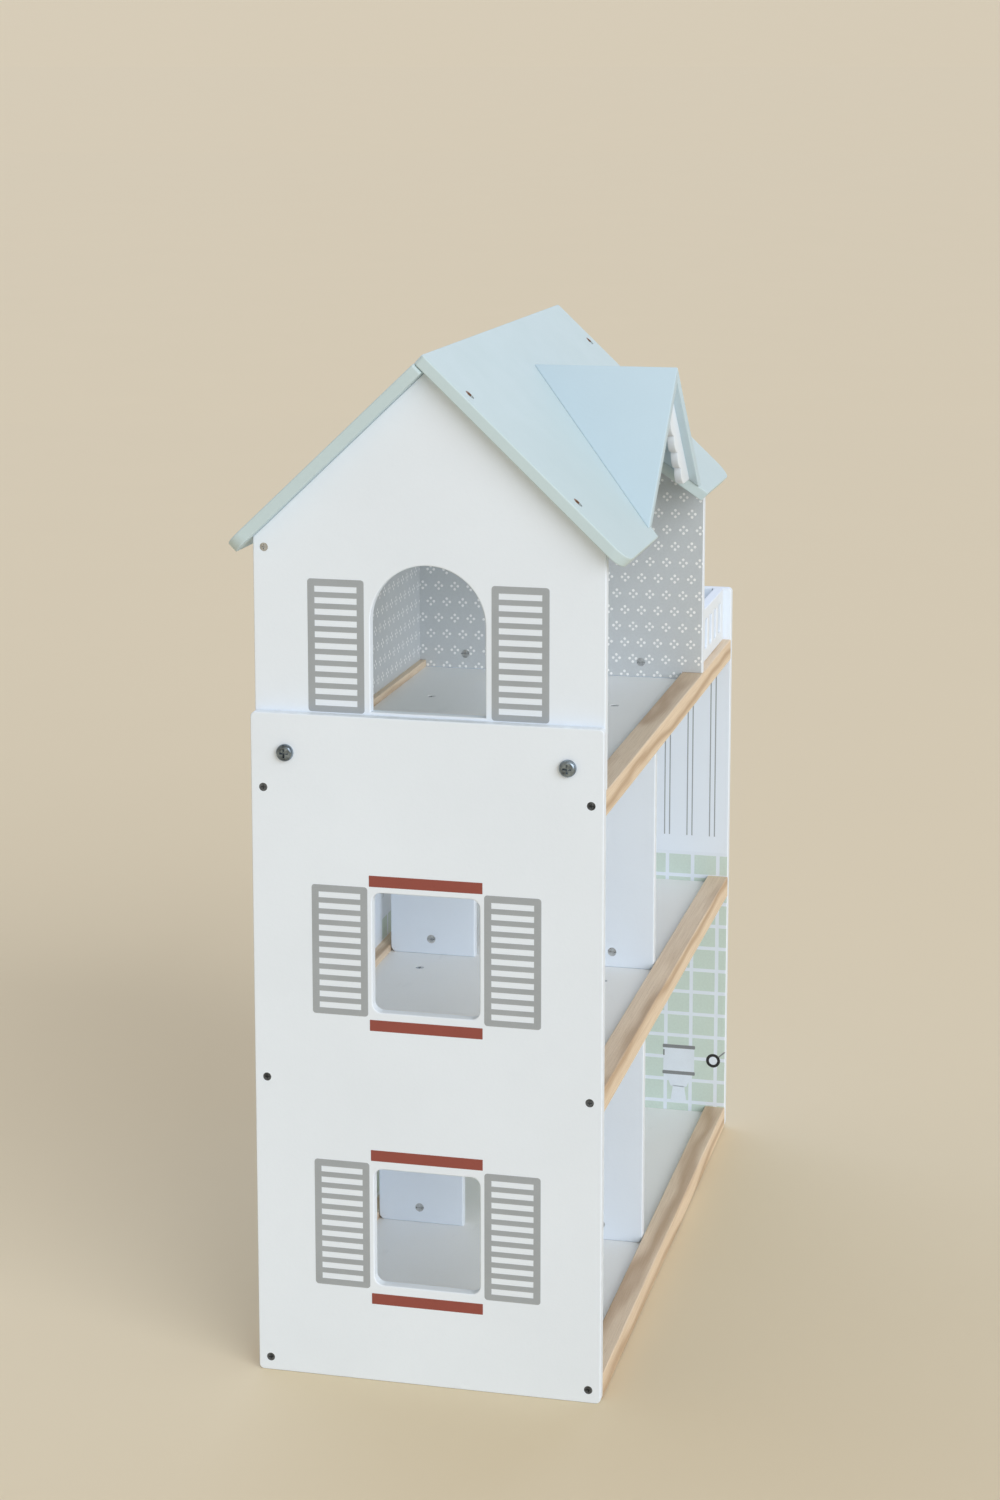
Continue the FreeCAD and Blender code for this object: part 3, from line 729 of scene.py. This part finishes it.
class DOLLHOUSE_OT_paint_walls(bpy.types.Operator):
    """Paint the end panel, gable, partitions, fences and trim white"""

    bl_idname = "dollhouse.paint_walls"
    bl_label = "Paint the walls"

    def execute(self, context):
        outline = (END_PANEL_LOW, END_PANEL_HIGH)
        give(["left_side_panel"], white_board("white_end_panel", outline))
        for name in ("ground_partition", "middle_partition"):
            give([name], white_board(f"white_{name}", box_of(name)))
        plain_boards = ["left_gable_panel", "balcony_front_fence", "balcony_back_fence"]
        give(plain_boards, white_board("white_paint"))
        return {"FINISHED"}


class DOLLHOUSE_OT_print_rooms(bpy.types.Operator):
    """Print tiles and stripes on the balcony end's panel and the thin back walls"""

    bl_idname = "dollhouse.print_rooms"
    bl_label = "Print the rooms"

    def execute(self, context):
        give(["right_side_panel"], far_panel_board())
        for level in ("ground", "middle"):
            wall = f"{level}_back_wall"
            give([wall], printed_back_wall(f"printed_{wall}", wall, f"{level}_partition"))
        return {"FINISHED"}


class DOLLHOUSE_OT_paper_attic(bpy.types.Operator):
    """Paper the attic's end wall and back wall"""

    bl_idname = "dollhouse.paper_attic"
    bl_label = "Paper the attic"

    def execute(self, context):
        give(["attic_end_wall"], papered_board("papered_end_wall", True))
        give(["attic_back_wall"], papered_board("papered_back_wall", False))
        return {"FINISHED"}


class DOLLHOUSE_OT_lay_floors(bpy.types.Operator):
    """Lay grey-white paper on the three floors"""

    bl_idname = "dollhouse.lay_floors"
    bl_label = "Lay the floors"

    def execute(self, context):
        give(["ground_floor", "middle_floor", "attic_floor"], floor_paper())
        return {"FINISHED"}


class DOLLHOUSE_OT_oil_rails(bpy.types.Operator):
    """Give the six rails and the dowels their bare wood"""

    bl_idname = "dollhouse.oil_rails"
    bl_label = "Oil the rails"

    def execute(self, context):
        rails = [f"{storey}_{side}_rail" for storey in STOREYS for side in ("front", "back")]
        give([*rails, "fence_dowels"], rail_wood())
        return {"FINISHED"}


class DOLLHOUSE_OT_plate_fasteners(bpy.types.Operator):
    """Plate the screws, bolts, inserts and barrel nuts"""

    bl_idname = "dollhouse.plate_fasteners"
    bl_label = "Plate the fasteners"

    def execute(self, context):
        zinc = ["gable_bolt_inserts", "wall_bolts", "wall_barrel_nuts", "attic_back_wall_screws"]
        give(zinc, steel("zinc_steel", paints().zinc, 0.2))
        # The deepest painted dark reflections go on the gable bolts and the end panels' screws.
        give(["gable_bolts"], steel("chromed_steel", paints().chrome, 0.1, dark_reflection_share=0.25))
        dark = ["left_side_screws", "right_side_screws"]
        give(dark, steel("dark_steel", paints().dark_steel, 0.3, dark_reflection_share=0.3))
        give(["roof_screws"], steel("bronzed_steel", paints().bronze, 0.4))
        return {"FINISHED"}


class DOLLHOUSE_OT_paint_roof(bpy.types.Operator):
    """Paint the roof boards blue, and round and paint the dormer's boards and trim"""

    bl_idname = "dollhouse.paint_roof"
    bl_label = "Paint the roof"

    def execute(self, context):
        slopes = ["roof_front_board", "roof_back_board"]
        give(slopes, blue_board("roof_paint", paints().roof_blue, True))
        blue = blue_board("dormer_paint", paints().dormer_blue, False)
        for side in ("left", "right"):
            self.rounded(f"dormer_{side}_board", blue, "blue_board")
        self.rounded("dormer_bargeboard", white_board("trim_paint"), "white_board")
        return {"FINISHED"}

    def rounded(self, node, material, slot):
        """A copy of a sharp-edged node with its edges rounded over."""
        piece = bpy.data.objects.new(f"rounded_{node}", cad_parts[node].data.copy())
        bpy.context.scene.collection.objects.link(piece)
        edit(piece)
        bpy.ops.mesh.remove_doubles(threshold=TOLERANCE / 10)
        bpy.ops.mesh.dissolve_limited(angle_limit=radians(1.0))
        leave_edit()
        bevel = piece.modifiers.new("rounding", "BEVEL")
        bevel.width = prints().dormer_round
        bevel.segments = 3
        bevel.limit_method = "ANGLE"
        bevel.angle_limit = radians(35)
        bpy.ops.object.modifier_apply(modifier=bevel.name)
        bpy.ops.object.shade_smooth_by_angle(angle=radians(30))
        coated(piece, material)
        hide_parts(node)


class DOLLHOUSE_OT_print_shutters(bpy.types.Operator):
    """Print a pair of shutters beside each of the three end windows"""

    bl_idname = "dollhouse.print_shutters"
    bl_label = "Print the shutters"

    def execute(self, context):
        sizes = prints()
        material = ink("shutter_ink", paints().shutter_grey)
        first_foot = SHUTTER_FEET["ground"]
        place = (END_PANEL_LOW.x, SHUTTER_MIDDLE, first_foot + sizes.shutter_height / 2)
        size = (sizes.shutter_width, sizes.shutter_height)
        first = patch("shutter_ground_back", -1, place, *size)
        self.cut_slats(first, first_foot)
        round_corners(first, sizes.shutter_corner)
        thicken(first, -1)
        coated(first, material)
        for storey, foot in SHUTTER_FEET.items():
            on_gable = storey == "attic"
            step_x = GABLE_LOW.x - END_PANEL_LOW.x if on_gable else 0
            step_y = GABLE_SHUTTER_SHIFT if on_gable else 0
            for side, name in ((1, "back"), (-1, "front")):
                if storey == "ground" and side == 1:
                    continue
                across = step_y if side == 1 else -2 * SHUTTER_MIDDLE - step_y
                offset = (step_x, across, foot - first_foot)
                twin(first, f"shutter_{storey}_{name}", offset)
        return {"FINISHED"}

    def cut_slats(self, shutter, foot):
        """Opens the slats, so that the panel's white paint shows through the ink."""
        sizes = prints()
        edge = sizes.shutter_width / 2 - sizes.shutter_stile
        top = foot + sizes.shutter_height - sizes.shutter_stile
        first_low = top - sizes.slat_height
        lows = [first_low - i * sizes.slat_pitch for i in range(sizes.slats)]
        edit(shutter)
        for side in (-edge, edge):
            self.score(Vector((0, SHUTTER_MIDDLE + side, 0)), Vector((0, 1, 0)))
        for low in lows:
            self.score(Vector((0, 0, low)), Vector((0, 0, 1)))
            self.score(Vector((0, 0, low + sizes.slat_height)), Vector((0, 0, 1)))

        def is_slat(face):
            middle = face.calc_center_median()
            inside = abs(middle.y - SHUTTER_MIDDLE) < edge
            return inside and any(low < middle.z < low + sizes.slat_height for low in lows)

        pick(shutter, "faces", is_slat)
        bpy.ops.mesh.delete(type="FACE")
        leave_edit()

    def score(self, place, direction):
        bpy.ops.mesh.select_all(action="SELECT")
        bpy.ops.mesh.bisect(plane_co=place, plane_no=direction)


class DOLLHOUSE_OT_print_lintels(bpy.types.Operator):
    """Print the red bars over and under the two square windows"""

    bl_idname = "dollhouse.print_lintels"
    bl_label = "Print the lintels and sills"

    def execute(self, context):
        sizes = prints()
        material = ink("lintel_ink", paints().lintel_red)
        place = (END_PANEL_LOW.x, 0, LINTEL_CENTRES["ground_sill"])
        first = patch("print_ground_sill", -1, place, sizes.lintel_length, sizes.lintel_height)
        round_corners(first, LINTEL_CORNER, segments=2)
        thicken(first, -1)
        coated(first, material)
        for name, height in LINTEL_CENTRES.items():
            if name != "ground_sill":
                offset = (0, 0, height - LINTEL_CENTRES["ground_sill"])
                twin(first, f"print_{name}", offset)
        return {"FINISHED"}


class DOLLHOUSE_OT_print_bathroom(bpy.types.Operator):
    """Print the toilet and the paper roll on the tiles"""

    bl_idname = "dollhouse.print_bathroom"
    bl_label = "Print the bathroom motifs"

    def execute(self, context):
        self.toilet()
        self.roll()
        return {"FINISHED"}

    def toilet(self):
        x = FAR_PANEL_LOW.x
        y = TOILET_MIDDLE
        white = ink("motif_white_ink", paints().white)
        grey = ink("motif_grey_ink", paints().motif_grey)
        cistern = patch("motif_cistern", -1, (x, y, CISTERN_HEIGHT), *CISTERN_SIZE)
        round_corners(cistern, CISTERN_CORNER)
        bowl = patch("motif_bowl", -1, (x, y, BOWL_HEIGHT), *BOWL_SIZE)
        self.taper(bowl, below=BOWL_HEIGHT, share=BOWL_TAPER)
        foot = patch("motif_foot", -1, (x, y, FOOT_HEIGHT), *FOOT_SIZE)
        self.taper(foot, below=FOOT_HEIGHT, share=FOOT_FLARE)
        for piece in (cistern, bowl, foot):
            thicken(piece, -1)
        body = joined("print_toilet_body", [cistern, bowl, foot])
        coated(body, white)
        proud = x - prints().ink / 2
        bars = []
        for height in LID_HEIGHTS:
            bar = patch("motif_bar", -1, (proud, y, height), *LID_SIZE)
            round_corners(bar, MOTIF_CORNER, segments=3)
            bars.append(bar)
        across, height = HANDLE_PLACE
        handle = patch("motif_handle", -1, (proud, y + across, height), *HANDLE_SIZE)
        round_corners(handle, HANDLE_CORNER, segments=3)
        bars.append(handle)
        for piece in bars:
            thicken(piece, -1)
        coated(joined("print_toilet_bars", bars), grey)

    def taper(self, piece, below, share):
        """Narrows or widens the lower edge of a flat rectangle, then rounds its corners."""
        middle = (FAR_PANEL_LOW.x, TOILET_MIDDLE, below)
        edit(piece)
        pick(piece, "verts", lambda vertex: vertex.co.z < below)
        bpy.ops.transform.resize(value=(1, share, 1), center_override=middle)
        bpy.ops.mesh.select_all(action="SELECT")
        bpy.ops.mesh.bevel(offset=MOTIF_CORNER, segments=4, affect="VERTICES")
        leave_edit()

    def roll(self):
        ring = self.disc(ROLL_RADIUS)
        edit(ring)
        bpy.ops.mesh.inset(thickness=ROLL_INK)
        bpy.ops.mesh.delete(type="FACE")
        leave_edit()
        thicken(ring, -1)
        black = ink("motif_black_ink", paints().motif_black)
        coated(joined("print_roll_ring", [ring]), black)
        core = self.disc(CORE_RADIUS)
        edit(core)
        bpy.ops.mesh.inset(thickness=CORE_INSET)
        leave_edit()
        core.location.x = prints().ink / 4
        settle()
        thicken(core, -1)
        white = ink("motif_paper_ink", paints().white)
        coated(joined("print_roll_core", [core]), white)
        tail = patch("print_roll_tail", -1, (FAR_PANEL_LOW.x, 0, 0), *TAIL_SIZE)
        round_corners(tail, TAIL_CORNER, segments=3)
        tail.rotation_euler.x = TAIL_TURN
        across, up = TAIL_SHIFT
        tail.location = (0, ROLL_CENTRE.y + across, ROLL_CENTRE.z + up)
        settle()
        thicken(tail, -1)
        coated(tail, ink("motif_tail_ink", paints().motif_grey))

    def disc(self, radius):
        """A flat disc on the tiles, in the paper roll's place."""
        nothing_selected()
        bpy.ops.mesh.primitive_circle_add(
            vertices=40,
            radius=radius,
            fill_type="NGON",
            location=(FAR_PANEL_LOW.x, ROLL_CENTRE.y, ROLL_CENTRE.z),
            rotation=(0, -pi / 2, 0),
        )
        settle()
        return bpy.context.object


class DOLLHOUSE_OT_set_stage(bpy.types.Operator):
    """Build the plain studio: a floor that sweeps up far away, lights and camera"""

    bl_idname = "dollhouse.set_stage"
    bl_label = "Set the stage"

    def execute(self, context):
        self.floor()
        self.lights()
        self.camera()
        return {"FINISHED"}

    def floor(self):
        settings = studio()
        nothing_selected()
        bpy.ops.mesh.primitive_circle_add(vertices=128, radius=settings.floor_reach, fill_type="NGON")
        floor = bpy.context.object
        floor.name = "studio_floor"
        edit(floor)
        radius = settings.floor_reach
        for share, _ in SWEEP:
            bpy.ops.mesh.inset(thickness=radius - share * settings.floor_reach)
            radius = share * settings.floor_reach
        for share, rise in SWEEP:
            limit = share * settings.floor_reach * SWEEP_MARGIN
            pick(floor, "verts", lambda vertex: hypot(vertex.co.x, vertex.co.y) > limit)
            bpy.ops.transform.translate(value=(0, 0, rise * settings.floor_rise))
        leave_edit()
        finish = Finish("studio_paper", 0.9)
        tint = paints().backdrop
        pulp = finish.noise(3.0, 3.0)
        finish.colour_with(finish.mix(pulp, darker(tint, 0.985), tint))
        finish.relief(finish.noise(900.0, 2.0), 0.00003)
        floor.data.materials.append(finish.material)

    def lights(self):
        settings = studio()
        world = bpy.data.worlds.new("room_light")
        world.use_nodes = True
        background = world.node_tree.nodes["Background"]
        background.inputs["Color"].default_value = (*settings.room_tint, 1.0)
        background.inputs["Strength"].default_value = settings.room
        bpy.context.scene.world = world
        key = (settings.key, settings.key_spread, settings.key_tint)
        self.soft_sun("key_light", KEY_PLACE, *key)
        fill = (settings.fill, settings.fill_spread, settings.fill_tint)
        self.soft_sun("room_fill", FILL_PLACE, *fill)
        window = (settings.window, settings.window_spread, settings.window_tint)
        self.soft_sun("window_light", WINDOW_PLACE, *window)

    def soft_sun(self, name, place, strength, spread, tint):
        """A wide, even light that shines from the place towards the house."""
        light = bpy.data.lights.new(name, "SUN")
        light.energy = strength
        light.angle = spread
        light.color = tint
        lamp = bpy.data.objects.new(name, light)
        lamp.location = place
        lamp.rotation_euler = lamp.location.to_track_quat("Z", "Y").to_euler()
        bpy.context.scene.collection.objects.link(lamp)

    def camera(self):
        lens = bpy.data.cameras.new("camera")
        lens.lens = studio().lens
        lens.sensor_width = 36
        lens.sensor_fit = "AUTO"
        lens.shift_y = CAMERA_SHIFT
        lens.clip_start = 0.05
        lens.clip_end = 90
        camera = bpy.data.objects.new("camera", lens)
        camera.location = CAMERA_PLACE
        camera.rotation_euler = CAMERA_LOOK.to_track_quat("-Z", "Y").to_euler()
        bpy.context.scene.collection.objects.link(camera)
        bpy.context.scene.camera = camera
        bpy.context.scene.view_settings.view_transform = "Standard"


STEPS = (
    DOLLHOUSE_OT_set_stage,
    DOLLHOUSE_OT_paint_walls,
    DOLLHOUSE_OT_print_rooms,
    DOLLHOUSE_OT_paper_attic,
    DOLLHOUSE_OT_lay_floors,
    DOLLHOUSE_OT_oil_rails,
    DOLLHOUSE_OT_plate_fasteners,
    DOLLHOUSE_OT_paint_roof,
    DOLLHOUSE_OT_print_shutters,
    DOLLHOUSE_OT_print_lintels,
    DOLLHOUSE_OT_print_bathroom,
)
GROUPS = (
    ("dollhouse_paints", DollhousePaints),
    ("dollhouse_prints", DollhousePrints),
    ("dollhouse_studio", DollhouseStudio),
)


class DOLLHOUSE_PT_panel(bpy.types.Panel):
    """Steps and settings of the dollhouse"""

    bl_idname = "DOLLHOUSE_PT_panel"
    bl_label = "Wooden dollhouse"
    bl_space_type = "VIEW_3D"
    bl_region_type = "UI"
    bl_category = "Dollhouse"

    def draw(self, context):
        for step in STEPS:
            self.layout.operator(step.bl_idname)
        for name, group in GROUPS:
            box = self.layout.box()
            for setting in group.bl_rna.properties.keys():
                if setting not in ("rna_type", "name"):
                    box.prop(getattr(context.scene, name), setting)


def register():
    for _, group in GROUPS:
        bpy.utils.register_class(group)
    for name, group in GROUPS:
        setattr(bpy.types.Scene, name, PointerProperty(type=group))
    for step in STEPS:
        bpy.utils.register_class(step)
    bpy.utils.register_class(DOLLHOUSE_PT_panel)


def unregister():
    bpy.utils.unregister_class(DOLLHOUSE_PT_panel)
    for step in reversed(STEPS):
        bpy.utils.unregister_class(step)
    for name, group in reversed(GROUPS):
        delattr(bpy.types.Scene, name)
        bpy.utils.unregister_class(group)


def main():
    register()
    bpy.ops.dollhouse.set_stage()
    bpy.ops.dollhouse.paint_walls()
    bpy.ops.dollhouse.print_rooms()
    bpy.ops.dollhouse.paper_attic()
    bpy.ops.dollhouse.lay_floors()
    bpy.ops.dollhouse.oil_rails()
    bpy.ops.dollhouse.plate_fasteners()
    bpy.ops.dollhouse.paint_roof()
    bpy.ops.dollhouse.print_shutters()
    bpy.ops.dollhouse.print_lintels()
    bpy.ops.dollhouse.print_bathroom()


if __name__ == "__main__":
    main()
